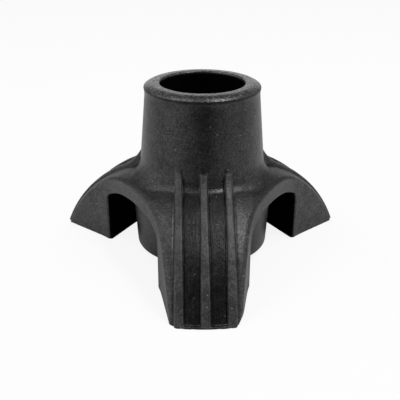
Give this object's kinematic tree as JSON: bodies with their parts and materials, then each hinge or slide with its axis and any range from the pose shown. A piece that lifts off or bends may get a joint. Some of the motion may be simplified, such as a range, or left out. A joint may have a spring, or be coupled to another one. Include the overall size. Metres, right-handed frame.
{
  "type": "rubber cane tip",
  "caption": "Moulded rubber tip for the end of a walking cane: a lipped socket on a bell that spreads into ribbed feet round a short tapered hub.",
  "frame": {"origin": "centre of the socket's floor, on the socket's axis", "axes": "+Z along the socket, out of its mouth; -Y along one foot; +X to the right of that foot"},
  "size_m": [0.0692, 0.0609, 0.0403],
  "materials": {
    "black_rubber": "satin"
  },
  "bodies": {
    "root": {"cane_tip": "black_rubber"}
  },
  "joints": []
}
